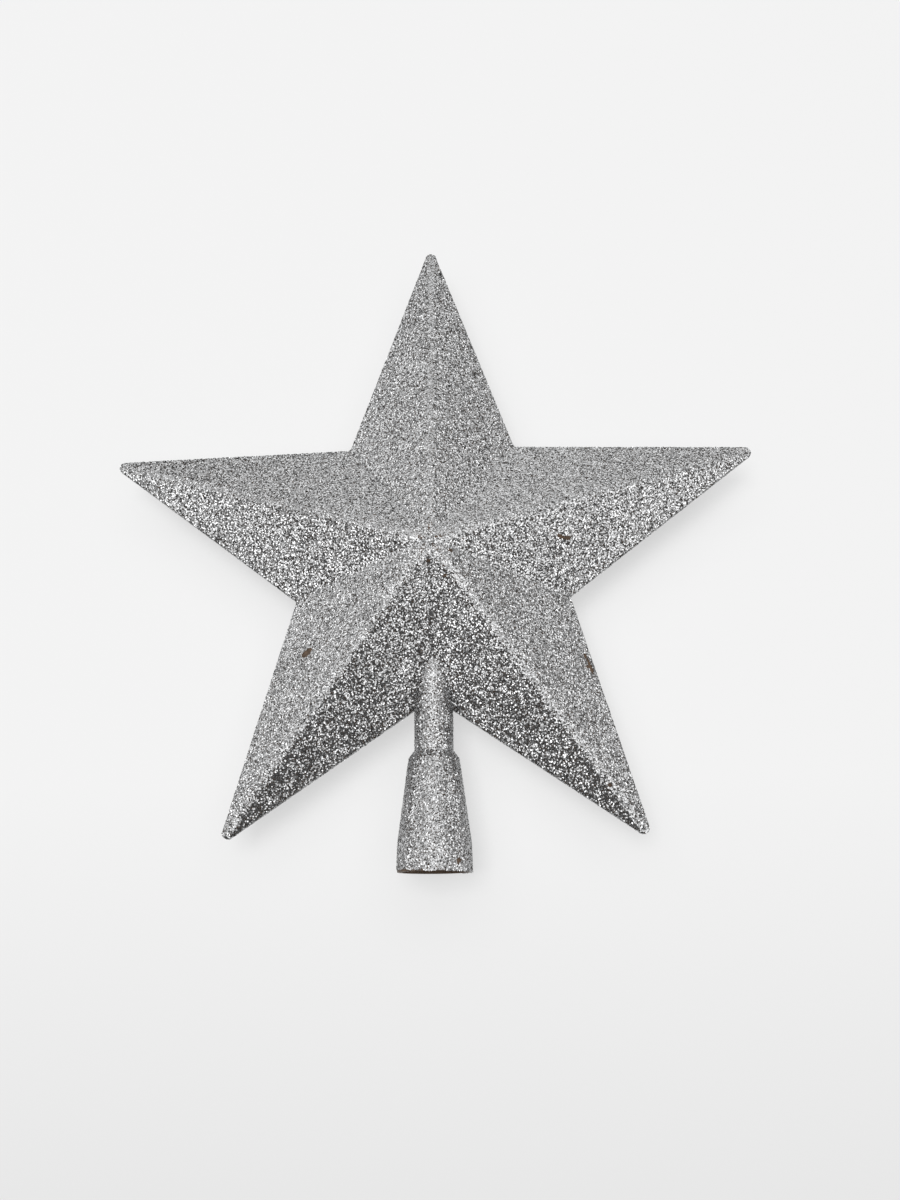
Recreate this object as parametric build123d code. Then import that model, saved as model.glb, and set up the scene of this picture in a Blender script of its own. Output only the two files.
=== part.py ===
from build123d import *
import os
from math import atan, atan2, cos, hypot, radians, sin, tan

# Christmas tree topper: a hollow five-pointed star on a flared socket, glitter all over.
# Millimetres. The star stands upright in the XZ plane, with its front towards -Y.
# The origin is the centre of the socket's mouth, and +Z runs up the socket's axis.

# Star, bare plastic. The reaches go to the sharp corners of the outline, before rounding.
arms = 5
tip_reach = 108.0
notch_reach = 44.0
apex_height = 19.8  # sharp apex above the joint plane
rim_height = 0.8  # straight side of each shell's rim
tip_round = 1.5
notch_round = 1.5
least_round = 0.5
crown_fit_share = 1.6  # edge of the crown outline as a share of what its rounds take up
crown_rise_share = 0.5  # how far the blunt crown rises towards the sharp apex

# Shell walls and the glued rim joint.
wall = 1.3
rim_land = 2.4
tongue_width = 0.8
tongue_height = 0.6
bead_height = 0.25
joint_clearance = 0.05

# Locating posts, one in each arm, with a peg on the front shell.
post_reach = 52.0
post_radius = 2.6
peg_radius = 1.4
peg_length = 3.0
peg_end_gap = 0.3

# Neck, half on each shell.
neck_radius = 5.6
neck_wall = 1.3
neck_length = 16.9  # from the socket's top to the sharp notch
neck_root_share = 0.9

# Socket.
mouth_bore_radius = 9.5
mouth_bore_length = 6.0
mouth_land = 8.0  # outside, where the flare ends
land_taper = 0.25
socket_wall = 1.45
socket_length = 34.7
seat_depth = 9.0
seat_glue = 0.15
collar_wall = 1.65
lip_width = 0.3
chamfer_height = 1.9
ledge_height = 1.6

# Glitter coat.
coat = 0.3

# Star geometry. All edges of the outline lie at one distance from the centre, and so do all
# facets, which makes an even wall a plain change of that distance.
half_turn = 180 / arms
edge_length = hypot(
    tip_reach - notch_reach * cos(radians(half_turn)),
    notch_reach * sin(radians(half_turn)),
)
edge_distance = tip_reach * notch_reach * sin(radians(half_turn)) / edge_length
tip_half_angle = atan2(edge_distance, (tip_reach**2 - edge_distance**2) ** 0.5)
notch_half_angle = tip_half_angle + radians(half_turn)
slope = atan((apex_height - rim_height) / edge_distance)

# Places along the axis.
star_height = socket_length + neck_length + notch_reach
ledge_level = socket_length - seat_depth
neck_end = star_height - ledge_level
neck_top = star_height - socket_length
valley_fall = sin(notch_half_angle) * tan(slope)
neck_root = neck_root_share * (apex_height - neck_radius - coat) / valley_fall

# Radii of the neck and the socket.
neck_bore_radius = neck_radius - neck_wall
seat_radius = neck_radius + seat_glue
collar_radius = seat_radius + collar_wall
lip_radius = seat_radius + lip_width
mouth_radius = mouth_bore_radius + socket_wall
land_radius = mouth_radius - land_taper
shoulder_level = socket_length - chamfer_height
chamfer_lean = atan2(collar_radius - lip_radius, chamfer_height)

# Rim joint.
tongue_inset = (rim_land - tongue_width) / 2
groove_depth = tongue_height + bead_height

# Frames of the two shells: x across, y up the star, z out from the joint plane.
front_frame = Plane(origin=(0, 0, star_height), x_dir=(1, 0, 0), z_dir=(0, -1, 0))
back_frame = Plane(origin=(0, 0, star_height), x_dir=(-1, 0, 0), z_dir=(0, 1, 0))


def outline(distance, tip_radius, notch_radius):
    """Star outline on the joint plane, its straight edges at this distance from the centre."""
    scale = distance / edge_distance
    corners = []
    for i in range(2 * arms):
        angle = radians(90 + i * half_turn)
        reach = scale * (notch_reach if i % 2 else tip_reach)
        corners.append((reach * cos(angle), reach * sin(angle)))
    rounds = (tip_radius, notch_radius) * arms
    return FilletPolyline(*corners, radius=rounds, close=True)


def rounds_at(offset):
    """Radii of the tips and notches of an outline moved out from the rim by this offset."""
    return max(tip_round + offset, least_round), max(notch_round - offset, least_round)


def rim_outline(offset):
    """Outline that lies this far outside the shell's rim, or inside it where negative."""
    return outline(edge_distance + offset, *rounds_at(offset))


def side_face(lower, upper):
    """Face between like edges of two outlines: flat between lines, ruled between arcs."""
    if lower.geom_type == GeomType.LINE:
        return Face(Wire.make_polygon([lower @ 0, lower @ 1, upper @ 1, upper @ 0]))
    return Face.make_surface_from_curves(lower, upper)


def frustum(lower, upper):
    """Solid between two like outlines at different levels."""
    pairs = zip(lower.wire().order_edges(), upper.wire().order_edges())
    sides = [side_face(*pair) for pair in pairs]
    return Solid(Shell([Face(lower.wire()), Face(upper.wire()), *sides]))


def dome(facet_offset, rim_offset):
    """Solid half star: rim side, sloping facets with round ridges, and a blunt crown."""
    tip_radius, notch_radius = rounds_at(rim_offset)
    taken_up = tip_radius / tan(tip_half_angle) + notch_radius / tan(notch_half_angle)
    crown_distance = edge_distance * crown_fit_share * taken_up / edge_length
    peak = apex_height + facet_offset / cos(slope)
    rim_level = peak - (edge_distance + rim_offset) * tan(slope)
    crown_level = peak - crown_distance * tan(slope)
    crown_top = crown_level + crown_rise_share * (peak - crown_level)
    base = rim_outline(rim_offset)
    crown = Pos(0, 0, crown_level) * outline(crown_distance, tip_radius, notch_radius)
    facets = frustum(Pos(0, 0, rim_level) * base, crown)
    cap = loft([Face(crown.wire()), Vertex(0, 0, crown_top)], ruled=True)
    return extrude(make_face(base), rim_level) + facets + cap


def half_rod(radius, start, end):
    """Half cylinder down the neck, between two distances below the star's centre."""
    half = Rectangle(2 * radius, radius, align=(Align.CENTER, Align.MIN))
    return extrude(Plane.XZ.offset(start) * (Circle(radius) & half), end - start)


def rim_ring(inset, width, neck_half_gap):
    """Ring face on the rim, open where the neck passes through it."""
    ring = make_face(rim_outline(-inset)) - make_face(rim_outline(-inset - width))
    return ring - Pos(0, -notch_reach) * Rectangle(2 * neck_half_gap, notch_reach)


def groove_ring():
    """Face of the groove, which is the tongue's with clearance all round."""
    width = tongue_width + 2 * joint_clearance
    return rim_ring(tongue_inset - joint_clearance, width, neck_radius)


def in_each_arm(solid):
    """Copies of a solid at the locating posts."""
    return [place * solid for place in PolarLocations(post_reach, arms, start_angle=90)]


def rod_up(radius, height):
    """Cylinder standing on the joint plane."""
    return Cylinder(radius, height, align=(Align.CENTER, Align.CENTER, Align.MIN))


def rod_down(radius, height):
    """Cylinder hanging from the joint plane."""
    return Cylinder(radius, height, align=(Align.CENTER, Align.CENTER, Align.MAX))


def half_star():
    """Hollow half star with its half neck and its posts, the same for both shells."""
    solid = dome(0, 0)
    posts = [post & solid for post in in_each_arm(rod_up(post_radius, apex_height))]
    hollow = dome(-wall, -rim_land) + half_rod(neck_bore_radius, neck_root, neck_end)
    shell = solid + half_rod(neck_radius, neck_root, neck_end) - hollow
    return shell + posts


def front_shell(half):
    """Front half, with a tongue round its rim and a peg on each post."""
    tongue_ring = rim_ring(tongue_inset, tongue_width, neck_radius + joint_clearance)
    pegs = in_each_arm(rod_down(peg_radius, peg_length))
    return half + extrude(tongue_ring, -tongue_height) + pegs


def back_shell(half):
    """Back half, with the groove for the tongue and a hole for each peg."""
    holes = in_each_arm(rod_up(peg_radius + joint_clearance, peg_length + peg_end_gap))
    return half - extrude(groove_ring(), groove_depth) - holes


def seam_adhesive():
    """Bead between the end of the tongue and the bottom of the groove."""
    return Pos(0, 0, tongue_height) * extrude(groove_ring(), bead_height)


def half_star_coat():
    """Glitter layer over a half star and its half neck, down to the socket."""
    outside = dome(coat, coat) + half_rod(neck_radius + coat, neck_root, neck_top)
    return outside - dome(0, 0) - half_rod(neck_radius, neck_root, neck_end)


def flare_radius(level):
    """Outside radius of the socket's flare at a level above the mouth."""
    share = (level - mouth_land) / (shoulder_level - mouth_land)
    return land_radius + share * (collar_radius - land_radius)


def socket_outside(grow):
    """Solid bounded by the socket's outside, grown outwards: mouth land, flare and chamfer."""
    shoulder_turn = tan(chamfer_lean / 2)
    lip_turn = tan(radians(45) - chamfer_lean / 2)
    profile = Polyline(
        (0, 0),
        (mouth_radius + grow, 0),
        (land_radius + grow, mouth_land),
        (collar_radius + grow, shoulder_level + grow * shoulder_turn),
        (lip_radius + grow * lip_turn, socket_length + grow),
        (0, socket_length + grow),
        close=True,
    )
    return revolve(Plane.XZ * make_face(profile), Axis.Z)


def tree_socket():
    """Flared sleeve: seat for the neck, ledge under it, and a cavity open at the mouth."""
    under_ledge = ledge_level - ledge_height
    inside = Polyline(
        (0, 0),
        (mouth_bore_radius, 0),
        (mouth_bore_radius, mouth_bore_length),
        (flare_radius(under_ledge) - socket_wall, under_ledge),
        (neck_bore_radius, under_ledge),
        (neck_bore_radius, ledge_level),
        (seat_radius, ledge_level),
        (seat_radius, socket_length),
        (0, socket_length),
        close=True,
    )
    return socket_outside(0) - revolve(Plane.XZ * make_face(inside), Axis.Z)


def socket_adhesive():
    """Glue layer between the neck and the socket's seat."""
    ring = Circle(seat_radius) - Circle(neck_radius)
    return Pos(0, 0, ledge_level) * extrude(ring, seat_depth)


def socket_glitter_coat():
    """Glitter layer over the socket's outside, up to the layer on the neck."""
    neck = rod_up(neck_radius + coat, socket_length + coat)
    return socket_outside(coat) - socket_outside(0) - neck


def main():
    half = half_star()
    half_coat = half_star_coat()
    nodes = {
        "front_shell": front_frame.location * front_shell(half),
        "back_shell": back_frame.location * back_shell(half),
        "seam_adhesive": back_frame.location * seam_adhesive(),
        "front_glitter_coat": front_frame.location * half_coat,
        "back_glitter_coat": back_frame.location * half_coat,
        "tree_socket": tree_socket(),
        "socket_adhesive": socket_adhesive(),
        "socket_glitter_coat": socket_glitter_coat(),
    }
    os.makedirs("parts", exist_ok=True)
    for name, shape in nodes.items():
        export_step(shape, f"parts/{name}.step")


main()
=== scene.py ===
"""Looks of a tree topper star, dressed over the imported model.

Metres, in the frame of the model: the origin is the centre of the socket's mouth, +Z runs up to
the top point of the star, and the star's front faces -Y. The moulded pieces keep their own meshes
and get plastic. The glitter coats are replaced by the flakes that they are made of: closed
four-sided chips of film, each with a foot in the plastic under it.
"""

import logging
from dataclasses import dataclass
from enum import Enum
from math import cos, pi, radians, sin, sqrt, tan

import bpy
import numpy as np
from mathutils import Matrix, Vector


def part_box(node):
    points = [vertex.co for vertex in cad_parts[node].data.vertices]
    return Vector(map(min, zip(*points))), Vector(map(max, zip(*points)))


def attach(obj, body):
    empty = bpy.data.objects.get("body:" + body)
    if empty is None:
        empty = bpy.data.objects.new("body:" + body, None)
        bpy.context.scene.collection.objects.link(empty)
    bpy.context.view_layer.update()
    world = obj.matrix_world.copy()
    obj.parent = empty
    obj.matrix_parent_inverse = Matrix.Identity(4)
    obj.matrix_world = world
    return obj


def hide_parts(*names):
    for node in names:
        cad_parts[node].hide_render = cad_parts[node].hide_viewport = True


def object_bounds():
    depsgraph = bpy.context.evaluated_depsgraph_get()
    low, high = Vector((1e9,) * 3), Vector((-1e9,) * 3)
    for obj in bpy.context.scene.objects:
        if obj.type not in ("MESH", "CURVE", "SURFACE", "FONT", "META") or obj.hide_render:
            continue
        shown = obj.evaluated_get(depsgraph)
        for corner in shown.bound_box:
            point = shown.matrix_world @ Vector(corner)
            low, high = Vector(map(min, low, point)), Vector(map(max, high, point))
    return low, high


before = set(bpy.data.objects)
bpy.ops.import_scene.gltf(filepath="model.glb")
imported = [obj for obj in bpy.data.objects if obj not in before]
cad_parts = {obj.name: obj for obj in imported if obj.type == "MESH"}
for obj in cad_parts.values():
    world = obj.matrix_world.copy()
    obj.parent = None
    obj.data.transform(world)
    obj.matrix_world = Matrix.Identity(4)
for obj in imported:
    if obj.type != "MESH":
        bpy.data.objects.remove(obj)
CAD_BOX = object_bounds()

LOG = logging.getLogger("tree_topper_star")
Array = np.ndarray
Draw = np.random.Generator
Colour = tuple[float, float, float]
Place = tuple[float, float, float]
MM = 0.001
BODY = "root"


class Half(Enum):
    """A half of the star, as the sign of Y on its outside."""

    FRONT = -1.0
    BACK = 1.0


class Slot(Enum):
    """A material slot of the record."""

    PLASTIC = "moulded_plastic"
    ADHESIVE = "adhesive"
    GLITTER = "silver_glitter"


class Stray(Enum):
    """The seed of each random draw, so that every run gives the same flakes."""

    FRONT = 11
    BACK = 12
    RIM = 13
    NECK = 14
    SOCKET = 15


class Lit(Enum):
    """What a lamp lights, as the mark that the backdrop has in the lamp's list."""

    STAR = "EXCLUDE"
    BACKDROP = "INCLUDE"


class Graph:
    """Node tree of one material, with short calls to add and join its nodes."""

    def __init__(self, name: str) -> None:
        """Starts an empty material.

        Args:
            name: Name of the material.
        """
        self.material = bpy.data.materials.new(name)
        self.material.use_nodes = True
        self.tree = self.material.node_tree
        self.tree.nodes.clear()

    def add(self, kind: str, **settings: object) -> bpy.types.Node:
        """Adds a node.

        Args:
            kind: Blender's name of the node type, without its ShaderNode prefix.
            settings: Properties of the node.

        Returns:
            The new node.
        """
        node = self.tree.nodes.new("ShaderNode" + kind)
        for key, value in settings.items():
            setattr(node, key, value)
        return node

    def join(self, start: bpy.types.NodeSocket, end: bpy.types.NodeSocket) -> None:
        """Links an output to an input."""
        self.tree.links.new(start, end)

    def noise(self, size: float, detail: float) -> bpy.types.Node:
        """Adds a noise pattern on Object coordinates.

        Args:
            size: Length of one blotch, in metres.
            detail: Octaves of finer noise.

        Returns:
            The noise node.
        """
        where = self.add("TexCoord")
        node = self.add("TexNoise")
        node.inputs["Scale"].default_value = 1.0 / size
        node.inputs["Detail"].default_value = detail
        self.join(where.outputs["Object"], node.inputs["Vector"])
        return node

    def ramp(
        self, value: bpy.types.NodeSocket, stops: list[tuple[float, Colour]]
    ) -> bpy.types.Node:
        """Adds a colour ramp.

        Args:
            value: Output that drives the ramp.
            stops: Places from 0 to 1 with their colours, in order.

        Returns:
            The ramp node.
        """
        node = self.add("ValToRGB")
        elements = node.color_ramp.elements
        while len(elements) < len(stops):
            elements.new(0.5)
        for element, (place, colour) in zip(elements, stops):
            element.position = place
            element.color = (*colour, 1.0)
        self.join(value, node.inputs["Fac"])
        return node

    def spread(self, value: bpy.types.NodeSocket, low: float, high: float) -> bpy.types.Node:
        """Adds a map from the range 0 to 1 to another range.

        Args:
            value: Output to map.
            low: Result for 0.
            high: Result for 1.

        Returns:
            The map node.
        """
        node = self.add("MapRange")
        node.inputs["To Min"].default_value = low
        node.inputs["To Max"].default_value = high
        self.join(value, node.inputs["Value"])
        return node

    def larger(
        self, first: bpy.types.NodeSocket, second: bpy.types.NodeSocket
    ) -> bpy.types.NodeSocket:
        """Adds the larger of two values, held between 0 and 1.

        Args:
            first: One value.
            second: The other value.

        Returns:
            The result's output.
        """
        node = self.add("Math", operation="MAXIMUM", use_clamp=True)
        self.join(first, node.inputs[0])
        self.join(second, node.inputs[1])
        return node.outputs["Value"]

    def mix(
        self,
        share: bpy.types.NodeSocket,
        first: bpy.types.NodeSocket,
        second: bpy.types.NodeSocket,
    ) -> bpy.types.NodeSocket:
        """Adds a mix of two shaders.

        Args:
            share: Share of the second shader.
            first: Output of the first shader.
            second: Output of the second shader.

        Returns:
            The mix's output.
        """
        node = self.add("MixShader")
        self.join(share, node.inputs["Fac"])
        self.join(first, node.inputs[1])
        self.join(second, node.inputs[2])
        return node.outputs["Shader"]

    def finish(self, shader: bpy.types.NodeSocket) -> None:
        """Joins a shader to the material's output."""
        self.join(shader, self.add("OutputMaterial").inputs["Surface"])

    def surface(self) -> bpy.types.Node:
        """Adds the usual shader, joined to the material's output.

        Returns:
            The shader node.
        """
        shader = self.add("BsdfPrincipled")
        self.finish(shader.outputs["BSDF"])
        return shader


@dataclass(frozen=True)
class MouldedPlastic:
    """Brown moulded plastic, a little blotchy, with a fine moulded grain."""

    deep: Colour = (0.050, 0.033, 0.022)
    pale: Colour = (0.135, 0.090, 0.060)
    deep_stop: float = 0.3
    pale_stop: float = 0.7
    blotch: float = 1.6 * MM
    blotch_detail: float = 3.0
    grain: float = 0.35 * MM
    grain_detail: float = 2.0
    grain_depth: float = 0.03 * MM
    grain_strength: float = 0.35
    least_rough: float = 0.40
    most_rough: float = 0.62
    shine: float = 0.2

    def material(self) -> bpy.types.Material:
        """Makes the material: blotches drive colour and roughness, and a fine noise drives bump.

        Returns:
            The material.
        """
        graph = Graph("brown_moulded_plastic")
        shader = graph.surface()
        shader.inputs["Specular IOR Level"].default_value = self.shine
        blotches = graph.noise(self.blotch, self.blotch_detail).outputs["Fac"]
        stops = [(self.deep_stop, self.deep), (self.pale_stop, self.pale)]
        colour = graph.ramp(blotches, stops)
        graph.join(colour.outputs["Color"], shader.inputs["Base Color"])
        rough = graph.spread(blotches, self.least_rough, self.most_rough)
        graph.join(rough.outputs["Result"], shader.inputs["Roughness"])
        bump = graph.add("Bump")
        bump.inputs["Strength"].default_value = self.grain_strength
        bump.inputs["Distance"].default_value = self.grain_depth
        grain = graph.noise(self.grain, self.grain_detail)
        graph.join(grain.outputs["Fac"], bump.inputs["Height"])
        graph.join(bump.outputs["Normal"], shader.inputs["Normal"])
        return graph.material


@dataclass(frozen=True)
class CuredGlue:
    """Pale cured glue, cloudy inside and smooth outside."""

    cloudy: Colour = (0.60, 0.55, 0.45)
    clear: Colour = (0.78, 0.75, 0.66)
    cloudy_stop: float = 0.35
    clear_stop: float = 0.65
    cloud: float = 2.0 * MM
    cloud_detail: float = 2.0
    least_rough: float = 0.2
    most_rough: float = 0.35

    def material(self) -> bpy.types.Material:
        """Makes the material: clouds drive colour and roughness.

        Returns:
            The material.
        """
        graph = Graph("cured_glue")
        shader = graph.surface()
        clouds = graph.noise(self.cloud, self.cloud_detail).outputs["Fac"]
        stops = [(self.cloudy_stop, self.cloudy), (self.clear_stop, self.clear)]
        colour = graph.ramp(clouds, stops)
        graph.join(colour.outputs["Color"], shader.inputs["Base Color"])
        rough = graph.spread(clouds, self.least_rough, self.most_rough)
        graph.join(rough.outputs["Result"], shader.inputs["Roughness"])
        return graph.material


@dataclass(frozen=True)
class SilverFilm:
    """Metallised film of the flakes, a little different from flake to flake."""

    dull: Colour = (0.26, 0.26, 0.26)
    plain: Colour = (0.43, 0.433, 0.437)
    bright: Colour = (0.68, 0.685, 0.69)
    plain_stop: float = 0.45
    least_rough: float = 0.08
    most_rough: float = 0.22

    def material(self) -> bpy.types.Material:
        """Makes the material: two values of each flake drive its colour and its roughness.

        Returns:
            The material.
        """
        graph = Graph("silver_glitter_film")
        shader = graph.surface()
        shader.inputs["Metallic"].default_value = 1.0
        tone = graph.add("Attribute", attribute_name=FlakeCut.TONE)
        stops = [(0.0, self.dull), (self.plain_stop, self.plain), (1.0, self.bright)]
        colour = graph.ramp(tone.outputs["Fac"], stops)
        graph.join(colour.outputs["Color"], shader.inputs["Base Color"])
        haze = graph.add("Attribute", attribute_name=FlakeCut.HAZE)
        rough = graph.spread(haze.outputs["Fac"], self.least_rough, self.most_rough)
        graph.join(rough.outputs["Result"], shader.inputs["Roughness"])
        return graph.material


@dataclass(frozen=True)
class Spots:
    """Places for flakes: points on the bare plastic, and its outward normals there."""

    points: Array
    normals: Array

    def where(self, keep: Array) -> "Spots":
        """The spots that a mask keeps."""
        return Spots(self.points[keep], self.normals[keep])


def unit(vectors: Array) -> Array:
    """Vectors divided by their lengths."""
    return vectors / np.linalg.norm(vectors, axis=-1, keepdims=True)


def turned(along: Array, aside: Array, turn: Array) -> tuple[Array, Array]:
    """Offsets across and up, from offsets along and beside an arm at a turn from the top.

    Args:
        along: Offsets out along the arm.
        aside: Offsets beside the arm, clockwise.
        turn: Clockwise turns of the arms from the top.

    Returns:
        Offsets along X and along Z.
    """
    across = along * np.sin(turn) + aside * np.cos(turn)
    return across, along * np.cos(turn) - aside * np.sin(turn)


@dataclass(frozen=True)
class FlakeCut:
    """Size and lie of the glitter flakes.

    A flake is an oblong of film that stands a little off the plastic, leans at random, and has
    four sides that run down to one foot under the plastic's surface, so that it is a closed solid.
    """

    across: float = 0.56 * MM
    across_spread: float = 0.04 * MM
    opening_spread: float = radians(9.0)
    pitch: float = 0.40 * MM
    shake: float = 0.42
    least_lift: float = 0.08 * MM
    most_lift: float = 0.24 * MM
    foot_depth: float = 0.15 * MM
    lean: float = radians(9.0)

    SIDES = 4
    ROW_SHARE = sin(radians(60.0))
    NEARLY_UPRIGHT = 0.9
    MAP_HALF_SIDE = 0.42
    MAP_FACE_MIDDLE = (0.5, 0.5)
    MAP_SIDES_MIDDLE = (1.5, 0.5)
    TONE = "flake_tone"
    HAZE = "flake_haze"
    BAKE_MAP = "OFBake"

    def lattice(self, width: float, height: float, pitch: float, draw: Draw) -> tuple[Array, Array]:
        """Shaken rows of points over a rectangle.

        Rows lie sin 60 degrees of a pitch apart, every other row is moved along by half a pitch,
        and each point then moves at random, by up to a share of the pitch each way.

        Args:
            width: Length of the rows, from 0.
            height: Room for the rows, from 0.
            pitch: Distance between neighbours.
            draw: Source of random numbers.

        Returns:
            The two coordinates of the points.
        """
        row_gap = pitch * self.ROW_SHARE
        row, column = np.mgrid[0 : int(height / row_gap) + 1, 0 : int(width / pitch) + 1]
        along = (column + 0.5 * (row % 2)) * pitch
        up = row * row_gap
        move = draw.uniform(-self.shake, self.shake, (2, *row.shape)) * pitch
        return (along + move[0]).ravel(), (up + move[1]).ravel()

    def corners(self, spots: Spots, draw: Draw) -> Array:
        """Five corners of each flake: four round its face, and its foot.

        The face's centre is the spot lifted along the surface's normal. Its own normal is the
        surface's plus two random tangents. Its corners are the ends of two equal diagonals that
        cross at the centre, at about a right angle, from a random start. The foot is the spot,
        sunk along the surface's normal.

        Args:
            spots: Places for the flakes.
            draw: Source of random numbers.

        Returns:
            Array of flakes by five by three.
        """
        count = len(spots.points)
        normal = spots.normals
        upright = np.abs(normal[:, 2:]) >= self.NEARLY_UPRIGHT
        aside = np.where(upright, (1.0, 0.0, 0.0), (0.0, 0.0, 1.0))
        first = unit(np.cross(normal, aside))
        second = np.cross(normal, first)
        leans = draw.normal(0.0, tan(self.lean), (2, count, 1))
        facing = unit(normal + leans[0] * first + leans[1] * second)
        along = unit(np.cross(facing, second))
        across = np.cross(facing, along)
        lift = draw.uniform(self.least_lift, self.most_lift, (count, 1))
        reach = 0.5 * draw.normal(self.across, self.across_spread, (count, 1, 1))
        opening = draw.normal(pi / 2, self.opening_spread, (count, 1))
        start = draw.uniform(0.0, 2 * pi, (count, 1))
        turns = (start + opening * (0, 1, 0, 1) + np.array((0, 0, pi, pi)))[..., None]
        ring = np.cos(turns) * along[:, None] + np.sin(turns) * across[:, None]
        faces = (spots.points + lift * normal)[:, None] + reach * ring
        feet = (spots.points - self.foot_depth * normal)[:, None]
        return np.concatenate([faces, feet], axis=1)

    def loops(self, count: int) -> tuple[Array, Array]:
        """Corner numbers of all faces in turn, and where each face starts.

        A flake has one face of four corners, then four sides of three: next corner, corner, foot.

        Args:
            count: Number of flakes.

        Returns:
            Corner numbers, and the start of each face among them.
        """
        rim = np.arange(self.SIDES)
        sides = np.stack([(rim + 1) % self.SIDES, rim, np.full(self.SIDES, self.SIDES)], axis=1)
        one = np.concatenate([rim, sides.ravel()])
        starts = np.concatenate([[0], self.SIDES + 3 * rim])
        each = np.arange(count)[:, None]
        return (one + each * (self.SIDES + 1)).ravel(), (starts + each * len(one)).ravel()

    def map_places(self, count: int) -> Array:
        """Places of all face corners on the flat map, with a cell of its own for each flake.

        Cells are twice as wide as high. The face is a square in the left half of its cell, and
        the sides fill a square in the right half, with the foot at its middle.

        Args:
            count: Number of flakes.

        Returns:
            Array of face corners by two, from 0 to 1.
        """
        columns = int(np.ceil(sqrt(count / 2)))
        ring = self.MAP_HALF_SIDE * np.array([(-1, -1), (1, -1), (1, 1), (-1, 1)])
        middle = np.zeros((self.SIDES, 2))
        sides = np.stack([np.roll(ring, -1, axis=0), ring, middle], axis=1).reshape(-1, 2)
        one = np.concatenate([ring + self.MAP_FACE_MIDDLE, sides + self.MAP_SIDES_MIDDLE])
        number = np.arange(count)
        cells = np.stack([2.0 * (number % columns), number // columns], axis=1)
        return ((cells[:, None] + one) / (2 * columns)).reshape(-1, 2)

    def piece(self, name: str, spots: Spots, draw: Draw) -> bpy.types.Object:
        """Makes one mesh of flakes.

        Args:
            name: Name of the piece.
            spots: Places for the flakes.
            draw: Source of random numbers.

        Returns:
            The new object, at the origin.
        """
        count = len(spots.points)
        corners = self.corners(spots, draw)
        numbers, starts = self.loops(count)
        mesh = bpy.data.meshes.new(name)
        mesh.vertices.add(corners.size // 3)
        mesh.vertices.foreach_set("co", corners.astype(np.float32).ravel())
        mesh.loops.add(len(numbers))
        mesh.loops.foreach_set("vertex_index", numbers.astype(np.int32))
        mesh.polygons.add(len(starts))
        mesh.polygons.foreach_set("loop_start", starts.astype(np.int32))
        mesh.update(calc_edges=True)
        mesh.shade_flat()
        for attribute in (self.TONE, self.HAZE):
            values = np.repeat(draw.uniform(0.0, 1.0, count), self.SIDES + 1)
            layer = mesh.attributes.new(attribute, "FLOAT", "POINT")
            layer.data.foreach_set("value", values.astype(np.float32))
        places = mesh.uv_layers.new(name=self.BAKE_MAP)
        places.uv.foreach_set("vector", self.map_places(count).astype(np.float32).ravel())
        piece = bpy.data.objects.new(name, mesh)
        bpy.context.scene.collection.objects.link(piece)
        return piece


@dataclass(frozen=True)
class BarePatch:
    """A chip in the coat: an ellipse, seen from the front, with no flakes in it."""

    across: float
    up: float
    long_half: float
    short_half: float
    turn: float = 0.0

    def covers(self, points: Array) -> Array:
        """Tells which points lie in the ellipse, from their offsets along and across it.

        Args:
            points: Array of points.

        Returns:
            One boolean for each point.
        """
        x, z = points[:, 0] - self.across, points[:, 2] - self.up
        along = (x * cos(self.turn) + z * sin(self.turn)) / self.long_half
        aside = (z * cos(self.turn) - x * sin(self.turn)) / self.short_half
        return along**2 + aside**2 < 1.0


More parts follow.
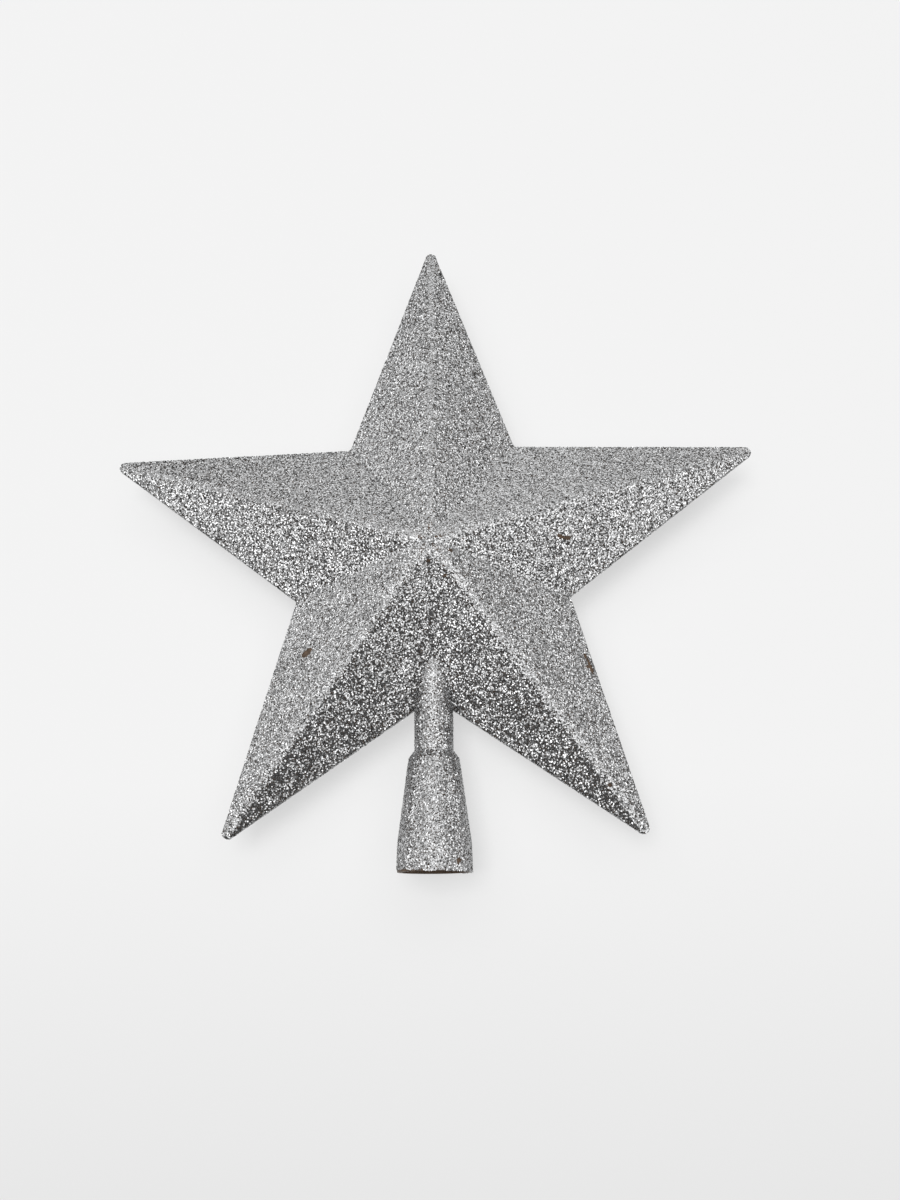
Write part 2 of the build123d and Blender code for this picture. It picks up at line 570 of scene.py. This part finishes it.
@dataclass(frozen=True)
class StarForm:
    """Bare outside of the star, by the sizes of its moulds.

    Every level outline of a half is the rim's outline with its straight edges moved nearer to the
    centre and its corner rounds kept, so one number, the distance of the edges from the centre,
    says where a point is on the slope.
    """

    top: float
    arms: int = 5
    tip_reach: float = 108.0 * MM
    notch_reach: float = 44.0 * MM
    apex_height: float = 19.8 * MM
    rim_height: float = 0.8 * MM
    tip_round: float = 1.5 * MM
    notch_round: float = 1.5 * MM
    crown_fit_share: float = 1.6
    crown_rise_share: float = 0.5
    step: float = 0.02 * MM

    @property
    def centre(self) -> float:
        """Level of the star's centre, from the level of its top point."""
        return self.top - self.rounded_reach

    @property
    def half_turn(self) -> float:
        """Angle from a tip to the next notch."""
        return pi / self.arms

    @property
    def edge_length(self) -> float:
        """Length of an edge from its sharp tip to its sharp notch."""
        rise = self.tip_reach - self.notch_reach * cos(self.half_turn)
        return float(np.hypot(rise, self.notch_reach * sin(self.half_turn)))

    @property
    def edge_distance(self) -> float:
        """Distance of the rim's edges from the centre."""
        return self.tip_reach * self.notch_reach * sin(self.half_turn) / self.edge_length

    @property
    def tip_angle(self) -> float:
        """Half of the angle at a tip."""
        return float(np.arcsin(self.edge_distance / self.tip_reach))

    @property
    def notch_angle(self) -> float:
        """Half of the angle of plastic missing at a notch."""
        return self.tip_angle + self.half_turn

    @property
    def rounded_reach(self) -> float:
        """Reach of a rounded tip."""
        return (self.edge_distance - self.tip_round) / sin(self.tip_angle) + self.tip_round

    @property
    def fall(self) -> float:
        """Fall of a facet for each metre outwards."""
        return (self.apex_height - self.rim_height) / self.edge_distance

    def distance(self, across: Array, up: Array) -> Array:
        """Distance from the centre of the edges of the outline through each point.

        On a facet it is the point's distance along the facet's own outward direction. Near a ridge
        it is that of the outline whose tip round, a circle on the arm's axis, goes through the
        point, and near a valley that of the outline whose notch round does.

        Args:
            across: Offsets from the centre along X.
            up: Offsets from the centre along Z.

        Returns:
            Edge distances.
        """
        turn = np.arctan2(across, up)
        from_arm = np.abs((turn + self.half_turn) % (2 * self.half_turn) - self.half_turn)
        reach = np.hypot(across, up)
        along, aside = reach * np.cos(from_arm), reach * np.sin(from_arm)
        facet = along * sin(self.tip_angle) + aside * cos(self.tip_angle)
        chord = np.sqrt(np.maximum(self.tip_round**2 - aside**2, 0.0))
        ridge = self.tip_round + sin(self.tip_angle) * (along - chord)
        result = np.where(aside < self.tip_round * cos(self.tip_angle), ridge, facet)
        from_notch = self.half_turn - from_arm
        along, aside = reach * np.cos(from_notch), reach * np.sin(from_notch)
        chord = np.sqrt(np.maximum(self.notch_round**2 - aside**2, 0.0))
        valley = sin(self.notch_angle) * (along + chord) - self.notch_round
        return np.where(aside < self.notch_round * cos(self.notch_angle), valley, result)

    def rise(self, across: Array, up: Array) -> Array:
        """Height of the plastic above the joint plane: an even slope, and a flatter crown.

        Args:
            across: Offsets from the centre along X.
            up: Offsets from the centre along Z.

        Returns:
            Heights.
        """
        taken_up = self.tip_round / tan(self.tip_angle) + self.notch_round / tan(self.notch_angle)
        crown = self.edge_distance * self.crown_fit_share * taken_up / self.edge_length
        distance = self.distance(across, up)
        slope = self.apex_height - self.fall * distance
        top = self.apex_height - self.fall * crown * (1.0 - self.crown_rise_share)
        cap = top - self.crown_rise_share * self.fall * distance
        return np.where(distance > crown, slope, cap)

    def spots(self, half: Half, cut: FlakeCut, draw: Draw) -> Spots:
        """Places for flakes on the facets of a half.

        A lattice on the joint plane, closer by the square root of the slope's cosine, is lifted to
        the plastic. The normal comes from the differences of the height over a small step.

        Args:
            half: Which half.
            cut: The flakes.
            draw: Source of random numbers.

        Returns:
            The places.
        """
        pitch = cut.pitch * (1.0 + self.fall**2) ** -0.25
        across, up = cut.lattice(2 * self.tip_reach, 2 * self.tip_reach, pitch, draw)
        across, up = across - self.tip_reach, up - self.tip_reach
        on_star = self.distance(across, up) < self.edge_distance
        across, up = across[on_star], up[on_star]
        points = np.stack([across, half.value * self.rise(across, up), self.centre + up], axis=1)
        lean_x = self.rise(across + self.step, up) - self.rise(across - self.step, up)
        lean_z = self.rise(across, up + self.step) - self.rise(across, up - self.step)
        out = np.full(len(across), 2 * self.step * half.value)
        return Spots(points, unit(np.stack([-lean_x, out, -lean_z], axis=1)))

    def arm_of(self, points: Array) -> Array:
        """Number of the arm that each point is on, from the top one clockwise."""
        turn = np.arctan2(points[:, 0], points[:, 2] - self.centre)
        return np.floor((turn + self.half_turn) / (2 * self.half_turn)).astype(int) % self.arms

    def rim_spots(self, cut: FlakeCut, draw: Draw) -> Spots:
        """Places for flakes on the straight side of the rim, all round the star.

        A lattice on a strip as long as the outline is bent round it. Each tenth of the strip is a
        tip arc, a straight edge and a notch arc, turned to its arm and mirrored on every other one.

        Args:
            cut: The flakes.
            draw: Source of random numbers.

        Returns:
            The places.
        """
        tip, notch, edge = self.tip_angle, self.notch_angle, self.edge_distance
        tip_arc = self.tip_round * (pi / 2 - tip)
        notch_arc = self.notch_round * (pi / 2 - notch)
        straight = self.edge_length - self.tip_round / tan(tip) - self.notch_round / tan(notch)
        tenth = tip_arc + straight + notch_arc
        run, level = cut.lattice(2 * self.arms * tenth, 2 * self.rim_height, cut.pitch, draw)
        run = run % (2 * self.arms * tenth)
        number = (run // tenth).astype(int)
        run = run % tenth
        past_tip, past_edge = run - tip_arc, run - tip_arc - straight
        zones = [past_tip < 0, past_edge < 0]
        square = pi / 2 - tip
        on_notch = square - past_edge / self.notch_round
        facing = np.select(zones, [run / self.tip_round, square], on_notch)
        tip_middle = (edge - self.tip_round) / sin(tip)
        notch_middle = (edge + self.notch_round) / sin(notch)
        start = tip_middle + self.tip_round * sin(tip), self.tip_round * cos(tip)
        along = np.select(
            zones,
            [tip_middle + self.tip_round * np.cos(facing), start[0] - past_tip * cos(tip)],
            notch_middle * cos(self.half_turn) - self.notch_round * np.cos(facing),
        )
        aside = np.select(
            zones,
            [self.tip_round * np.sin(facing), start[1] + past_tip * sin(tip)],
            notch_middle * sin(self.half_turn) - self.notch_round * np.sin(facing),
        )
        side = np.where(number % 2, -1.0, 1.0)
        turn = (number // 2) * 2 * self.half_turn
        across, up = turned(along, side * aside, turn)
        points = np.stack([across, level - self.rim_height, self.centre + up], axis=1)
        out_x, out_z = turned(np.cos(facing), side * np.sin(facing), turn)
        return Spots(points, np.stack([out_x, np.zeros(len(run)), out_z], axis=1))


@dataclass(frozen=True)
class NeckForm:
    """Bare outside of the neck: a round rod from the socket into the star's bottom valley."""

    foot: float
    star: StarForm
    radius: float = 5.6 * MM
    root_below_centre: float = 29.0 * MM

    def hides(self, points: Array) -> Array:
        """Tells which points of the star or its rim lie inside the rod.

        Args:
            points: Array of points.

        Returns:
            One boolean for each point.
        """
        inside = np.hypot(points[:, 0], points[:, 1]) < self.radius
        return inside & (points[:, 2] < self.star.centre - self.root_below_centre)

    def spots(self, cut: FlakeCut, draw: Draw) -> Spots:
        """Places for flakes on the rod where it stands out of the star.

        A lattice on a strip is bent round the rod, and what is lower than the star's slopes, or
        behind its rim, is left out.

        Args:
            cut: The flakes.
            draw: Source of random numbers.

        Returns:
            The places.
        """
        length = self.star.centre - self.root_below_centre - self.foot
        around, up = cut.lattice(2 * pi * self.radius, length, cut.pitch, draw)
        turn = around / self.radius
        normals = np.stack([np.sin(turn), np.cos(turn), np.zeros(len(turn))], axis=1)
        points = self.radius * normals
        points[:, 2] = self.foot + up
        below = points[:, 2] - self.star.centre
        in_plan = self.star.distance(points[:, 0], below) < self.star.edge_distance
        buried = in_plan & (np.abs(points[:, 1]) < self.star.rise(points[:, 0], below))
        return Spots(points, normals).where(~buried)


@dataclass(frozen=True)
class SocketForm:
    """Bare outside of the socket, as a profile turned about Z."""

    length: float
    neck_radius: float
    mouth_radius: float = 10.95 * MM
    mouth_land: float = 8.0 * MM
    land_radius: float = 10.7 * MM
    collar_radius: float = 7.4 * MM
    lip_radius: float = 6.05 * MM
    chamfer_height: float = 1.9 * MM
    edge_rise: float = 0.25 * MM
    edge_fall: float = 0.5 * MM
    edge_turn: float = radians(20.0)
    edge_wander: float = 0.22 * MM
    edge_waves: tuple[tuple[float, float], ...] = ((7.0, 0.0), (11.0, 1.0))

    def profile(self) -> tuple[Array, Array]:
        """Corners of the profile from the mouth up: land, flare, shoulder, lip and neck.

        Returns:
            Radii and levels.
        """
        corners = [
            (self.mouth_radius, 0.0),
            (self.land_radius, self.mouth_land),
            (self.collar_radius, self.length - self.chamfer_height),
            (self.lip_radius, self.length),
            (self.neck_radius, self.length),
        ]
        radii, levels = np.array(corners).T
        return radii, levels

    def spots(self, cut: FlakeCut, draw: Draw) -> Spots:
        """Places for flakes from the coat's ragged lower edge up to the neck.

        A lattice on a strip, as wide as the mouth is round, is bent about Z. A row keeps only as
        many points as fit round its own radius. The coat's edge is a slant round Z plus the mean
        of two waves, each with its number round Z and its offset.

        Args:
            cut: The flakes.
            draw: Source of random numbers.

        Returns:
            The places.
        """
        radii, levels = self.profile()
        pieces = np.hypot(np.diff(radii), np.diff(levels))
        runs = np.concatenate([[0.0], np.cumsum(pieces)])
        widest = float(radii.max())
        around, run = cut.lattice(2 * pi * widest, runs[-1], cut.pitch, draw)
        run = np.clip(run, 0.0, runs[-1])
        radius, level = np.interp(run, runs, radii), np.interp(run, runs, levels)
        number = np.clip(np.searchsorted(runs, run, side="right") - 1, 0, len(pieces) - 1)
        fits = around < 2 * pi * radius
        turn = around / radius
        out = (np.diff(levels) / pieces)[number]
        up = (-np.diff(radii) / pieces)[number]
        points = np.stack([radius * np.sin(turn), radius * np.cos(turn), level], axis=1)
        normals = np.stack([out * np.sin(turn), out * np.cos(turn), up], axis=1)
        slant = self.edge_rise + self.edge_fall * np.cos(turn + pi / 2 - self.edge_turn)
        waves = [np.sin(count * turn + offset) for count, offset in self.edge_waves]
        edge = slant + self.edge_wander * np.mean(waves, axis=0)
        return Spots(points, normals).where(fits & (level > edge))


@dataclass(frozen=True)
class StarGlitter:
    """The glitter on the star and its neck, by their shapes, the flakes, and the chips in front."""

    form: StarForm
    neck: NeckForm
    cut: FlakeCut
    chips: tuple[BarePatch, ...]

    def bare(self, points: Array) -> Array:
        """Tells which points of the front are bare of flakes."""
        return np.any([chip.covers(points) for chip in self.chips], axis=0)

    def coat(self, half: Half, film: bpy.types.Material) -> None:
        """Makes the flakes of a half, one piece for each arm.

        Args:
            half: Which half.
            film: Material of the flakes.
        """
        draw = np.random.default_rng(Stray[half.name].value)
        spots = self.form.spots(half, self.cut, draw)
        spots = spots.where(~self.neck.hides(spots.points))
        if half is Half.FRONT:
            spots = spots.where(~self.bare(spots.points))
        arms = self.form.arm_of(spots.points)
        side = half.name.lower()
        for arm in range(self.form.arms):
            name = f"{side}_glitter_arm_{arm + 1}"
            piece = self.cut.piece(name, spots.where(arms == arm), draw)
            dress_flakes(piece, film, f"{side}_glitter_coat")

    def rim(self, film: bpy.types.Material) -> None:
        """Makes the flakes on the rim's side, which stand for the edges of both coats.

        Args:
            film: Material of the flakes.
        """
        draw = np.random.default_rng(Stray.RIM.value)
        spots = self.form.rim_spots(self.cut, draw)
        spots = spots.where(~self.neck.hides(spots.points) & ~self.bare(spots.points))
        piece = self.cut.piece("rim_glitter", spots, draw)
        dress_flakes(piece, film, "front_glitter_coat", "back_glitter_coat")

    def neck_coat(self, film: bpy.types.Material) -> None:
        """Makes the flakes on the neck, which stand for the lower ends of both coats.

        Args:
            film: Material of the flakes.
        """
        draw = np.random.default_rng(Stray.NECK.value)
        piece = self.cut.piece("neck_glitter", self.neck.spots(self.cut, draw), draw)
        dress_flakes(piece, film, "front_glitter_coat", "back_glitter_coat")


@dataclass(frozen=True)
class SocketGlitter:
    """The glitter on the socket, by its shape, the flakes, and the chips in front."""

    form: SocketForm
    cut: FlakeCut
    chips: tuple[BarePatch, ...]

    def coat(self, film: bpy.types.Material) -> None:
        """Makes the flakes on the socket.

        Args:
            film: Material of the flakes.
        """
        draw = np.random.default_rng(Stray.SOCKET.value)
        spots = self.form.spots(self.cut, draw)
        bare = np.any([chip.covers(spots.points) for chip in self.chips], axis=0)
        spots = spots.where(~(bare & (spots.points[:, 1] < 0)))
        piece = self.cut.piece("socket_glitter", spots, draw)
        dress_flakes(piece, film, "socket_glitter_coat")


def dress_flakes(piece: bpy.types.Object, film: bpy.types.Material, *coats: str) -> None:
    """Gives a piece of flakes its material, attaches it to the body, and hides the coats it stands
    for.

    Args:
        piece: The flakes.
        film: Material of the flakes.
        coats: Names of the nodes that the piece replaces.
    """
    piece.data.materials.append(film)
    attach(piece, BODY)
    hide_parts(*coats)
    LOG.info("%s: %d flakes", piece.name, len(piece.data.vertices) // (FlakeCut.SIDES + 1))


def dress_node(name: str, material: bpy.types.Material) -> None:
    """Gives a node of the model its material.

    Args:
        name: Name of the node.
        material: What it is made of.
    """
    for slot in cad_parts[name].material_slots:
        slot.material = material
    LOG.info("%s: %s", name, material.name)


@dataclass(frozen=True)
class Softbox:
    """A large square lamp that faces the star.

    Its place is a tilt away from straight in front of the star, and a turn clockwise from the top,
    as seen from the front, both in degrees. It lights either the star or the backdrop.
    """

    name: str
    tilt: float
    turn: float
    power: float
    distance: float = 3.0
    side: float = 1.4
    lit: Lit = Lit.STAR

    def place(self, target: Vector, lists: dict[Lit, bpy.types.Collection]) -> None:
        """Puts the lamp on a line from the target, turned to face it.

        Args:
            target: Point that the lamp faces.
            lists: What each kind of lamp lights.
        """
        lamp = bpy.data.lights.new(self.name, "AREA")
        lamp.shape = "SQUARE"
        lamp.size = self.side
        lamp.energy = self.power
        holder = bpy.data.objects.new(self.name, lamp)
        bpy.context.scene.collection.objects.link(holder)
        tilt, turn = radians(self.tilt), radians(self.turn)
        way = Vector((sin(tilt) * sin(turn), -cos(tilt), sin(tilt) * cos(turn)))
        holder.location = target + self.distance * way
        holder.rotation_euler = way.to_track_quat("Z", "Y").to_euler()
        holder.light_linking.receiver_collection = lists[self.lit]


@dataclass(frozen=True)
class Studio:
    """Pale backdrop behind the star, plain soft light, and the camera.

    The lamps on the star stay off the backdrop, which has two lamps of its own, so the shadow on it
    is narrow. The lamps behind the backdrop shine through it, for views of the star's back.
    """

    star_centre: float
    table_gap: float = 0.6 * MM
    table_half: float = 5.0
    # Painted shade on the backdrop: its colour at the bottom and at the top, and the heights it
    # runs between.
    painted_shade_bottom_colour: float = 0.776
    painted_shade_top_colour: float = 0.89
    painted_shade_span: tuple[float, float] = (-125.0 * MM, 29.0 * MM)
    table_glow: float = 0.62
    room_light: Colour = (0.12, 0.12, 0.12)
    camera_place: Place = (20.0 * MM, -363.5 * MM, -17.6 * MM)
    camera_look: Place = (-0.0392, 0.9639, 0.2635)
    camera_up: Place = (0.0206, -0.2629, 0.9646)
    lens: float = 36.78
    sensor: float = 36.0
    near_clip: float = 10.0 * MM
    lamps: tuple[Softbox, ...] = (
        Softbox("front_lamp", 0.0, 0.0, 16.0, side=2.4),
        Softbox("high_lamp", 30.0, 0.0, 17.5, side=2.4),
        Softbox("top_lamp", 72.0, 0.0, 15.4, side=1.95),
        Softbox("low_front_lamp_-115", 20.0, -115.0, 5.0),
        Softbox("low_front_lamp_115", 20.0, 115.0, 3.7),
        Softbox("side_front_lamp_-72", 33.0, -72.0, 6.0),
        Softbox("side_front_lamp_84", 32.0, 84.0, 7.0),
        Softbox("low_side_lamp_-120", 57.0, -120.0, 14.0, side=1.25),
        Softbox("low_side_lamp_120", 57.0, 119.0, 12.4, side=1.25),
        Softbox("low_right_lamp", 36.0, 122.0, 2.4, side=0.9),
        Softbox("upper_lamp_-80", 57.0, -80.0, 4.4),
        *(Softbox(f"upper_lamp_{turn}", 57.0, turn, 5.6) for turn in (-40, 40)),
        Softbox("upper_lamp_80", 57.0, 80.0, 1.7),
        *(Softbox(f"edge_lamp_{turn}", 80.0, turn, 12.3) for turn in (-90, -54, 54, 90)),
        Softbox("backdrop_broad_lamp", 6.0, 0.0, 68.0, side=4.4, lit=Lit.BACKDROP),
        Softbox("backdrop_key_lamp", 6.0, -90.0, 43.5, side=1.17, lit=Lit.BACKDROP),
        Softbox("rear_lamp", 168.0, 180.0, 23.0, side=2.4),
        Softbox("rear_top_lamp", 137.0, 0.0, 16.0, side=1.95),
        *(Softbox(f"rear_side_lamp_{turn}", 128.0, turn, 8.0, side=1.6) for turn in (-86, 86)),
        *(Softbox(f"rear_low_lamp_{turn}", 117.0, turn, 6.0, side=1.2) for turn in (-150, 150)),
        *(Softbox(f"rear_edge_lamp_{turn}", 106.0, turn, 12.0) for turn in (-72, 0, 72)),
    )

    def backdrop(self) -> bpy.types.Object:
        """Makes the pale plane that the star lies on, seen only from the star's side.

        Returns:
            The plane.
        """
        level = CAD_BOX[1].y + self.table_gap
        signs = np.array([(-1, 0, -1), (1, 0, -1), (1, 0, 1), (-1, 0, 1)], float)
        corners = signs * self.table_half + (0.0, level, self.star_centre)
        mesh = bpy.data.meshes.new("backdrop")
        mesh.from_pydata(corners.tolist(), [], [(0, 1, 2, 3)])
        mesh.materials.append(self.backdrop_material())
        plane = bpy.data.objects.new("backdrop", mesh)
        bpy.context.scene.collection.objects.link(plane)
        return plane

    def backdrop_material(self) -> bpy.types.Material:
        """Makes the material: matt white that glows a little to the eye, and is clear from behind.

        The glow makes the shadows faint. Its colour is painted shade, darker towards the bottom of
        the view. A path that has come through the plane from behind finds it clear on the way back
        as well.

        Returns:
            The material.
        """
        graph = Graph("pale_backdrop")
        seen = graph.add("LightPath").outputs
        mirrored = graph.larger(seen["Is Glossy Ray"], seen["Is Transmission Ray"])
        eye = graph.larger(seen["Is Camera Ray"], mirrored)
        share = graph.spread(eye, 0.0, self.table_glow)
        # Painted shade: the colour runs from the darker bottom colour up to the top colour over the
        # span of heights.
        height = graph.add("SeparateXYZ")
        graph.join(graph.add("TexCoord").outputs["Object"], height.inputs["Vector"])
        pale = graph.spread(height.outputs["Z"], self.painted_shade_bottom_colour, self.painted_shade_top_colour)
        for end, level in zip(("From Min", "From Max"), self.painted_shade_span):
            pale.inputs[end].default_value = level
        matt = graph.add("BsdfDiffuse")
        glow = graph.add("Emission")
        for shader in (matt, glow):
            graph.join(pale.outputs["Result"], shader.inputs["Color"])
        front = graph.mix(share.outputs["Result"], matt.outputs["BSDF"], glow.outputs["Emission"])
        reverse = graph.add("NewGeometry").outputs["Backfacing"]
        behind = graph.larger(reverse, seen["Transparent Depth"])
        graph.finish(graph.mix(behind, front, graph.add("BsdfTransparent").outputs["BSDF"]))
        return graph.material

    def lamp_list(self, lit: Lit, plane: bpy.types.Object) -> bpy.types.Collection:
        """Makes the list by which a lamp lights the backdrop alone, or all but the backdrop.

        Args:
            lit: What the lamp lights.
            plane: The backdrop.

        Returns:
            The list.
        """
        listed = bpy.data.collections.new(f"lamps_on_{lit.name.lower()}")
        listed.objects.link(plane)
        listed.collection_objects[0].light_linking.link_state = lit.value
        return listed

    def light(self, plane: bpy.types.Object) -> None:
        """Puts up the lamps and the light of the room.

        Args:
            plane: The backdrop.
        """
        target = Vector((0.0, 0.0, self.star_centre))
        lists = {lit: self.lamp_list(lit, plane) for lit in Lit}
        for lamp in self.lamps:
            lamp.place(target, lists)
        world = bpy.data.worlds.new("studio")
        world.use_nodes = True
        background = world.node_tree.nodes["Background"]
        background.inputs["Color"].default_value = (*self.room_light, 1.0)
        background.inputs["Strength"].default_value = 1.0
        bpy.context.scene.world = world

    def camera(self) -> None:
        """Puts the camera where the photograph was taken from."""
        lens = bpy.data.cameras.new("camera")
        lens.lens = self.lens
        lens.sensor_width = self.sensor
        lens.clip_start = self.near_clip
        holder = bpy.data.objects.new("camera", lens)
        bpy.context.scene.collection.objects.link(holder)
        back = -Vector(self.camera_look).normalized()
        right = Vector(self.camera_up).cross(back).normalized()
        axes = Matrix((right, back.cross(right), back)).transposed()
        holder.matrix_world = Matrix.Translation(self.camera_place) @ axes.to_4x4()
        bpy.context.scene.camera = holder
        bpy.context.scene.view_settings.view_transform = "Standard"


STAR_CHIPS = (
    BarePatch(-37.8 * MM, 64.7 * MM, 2.1 * MM, 0.95 * MM, radians(38.0)),
    BarePatch(39.2 * MM, 98.75 * MM, 1.15 * MM, 0.6 * MM, radians(-15.0)),
    BarePatch(41.5 * MM, 98.5 * MM, 1.2 * MM, 0.72 * MM, radians(10.0)),
    BarePatch(45.8 * MM, 63.0 * MM, 0.9 * MM, 0.55 * MM, radians(-70.0)),
    BarePatch(46.7 * MM, 61.1 * MM, 1.1 * MM, 0.5 * MM, radians(-70.0)),
    BarePatch(47.5 * MM, 58.9 * MM, 1.4 * MM, 0.6 * MM, radians(-72.0)),
    BarePatch(46.4 * MM, 59.6 * MM, 0.7 * MM, 0.5 * MM),
    BarePatch(51.4 * MM, 24.0 * MM, 0.8 * MM, 0.6 * MM, radians(-60.0)),
    BarePatch(-0.5 * MM, 89.4 * MM, 0.6 * MM, 0.5 * MM),
    BarePatch(6.1 * MM, 92.4 * MM, 0.65 * MM, 0.5 * MM),
    BarePatch(4.5 * MM, 84.9 * MM, 0.55 * MM, 0.45 * MM),
)
SOCKET_CHIPS = (BarePatch(7.2 * MM, 2.8 * MM, 0.95 * MM, 0.62 * MM, radians(80.0)),)
NODES = {
    Slot.PLASTIC: ("front_shell", "back_shell", "tree_socket"),
    Slot.ADHESIVE: ("seam_adhesive", "socket_adhesive"),
    Slot.GLITTER: ("front_glitter_coat", "back_glitter_coat", "socket_glitter_coat"),
}


def main() -> None:
    """Builds the looks in order: stage, materials of the nodes, and glitter of star and socket."""
    star_form = StarForm(top=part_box("front_shell")[1].z)
    neck_form = NeckForm(foot=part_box("tree_socket")[1].z, star=star_form)
    socket_form = SocketForm(length=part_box("tree_socket")[1].z, neck_radius=neck_form.radius)
    studio = Studio(star_centre=star_form.centre)
    studio.camera()
    studio.light(studio.backdrop())
    film = SilverFilm().material()
    materials = {
        Slot.PLASTIC: MouldedPlastic().material(),
        Slot.ADHESIVE: CuredGlue().material(),
        Slot.GLITTER: film,
    }
    for slot, names in NODES.items():
        for name in names:
            dress_node(name, materials[slot])
    cut = FlakeCut()
    star = StarGlitter(star_form, neck_form, cut, STAR_CHIPS)
    for half in Half:
        star.coat(half, film)
    star.rim(film)
    star.neck_coat(film)
    SocketGlitter(socket_form, cut, SOCKET_CHIPS).coat(film)


if __name__ == "__main__":
    logging.basicConfig(level=logging.INFO, format="%(name)s: %(message)s")
    main()
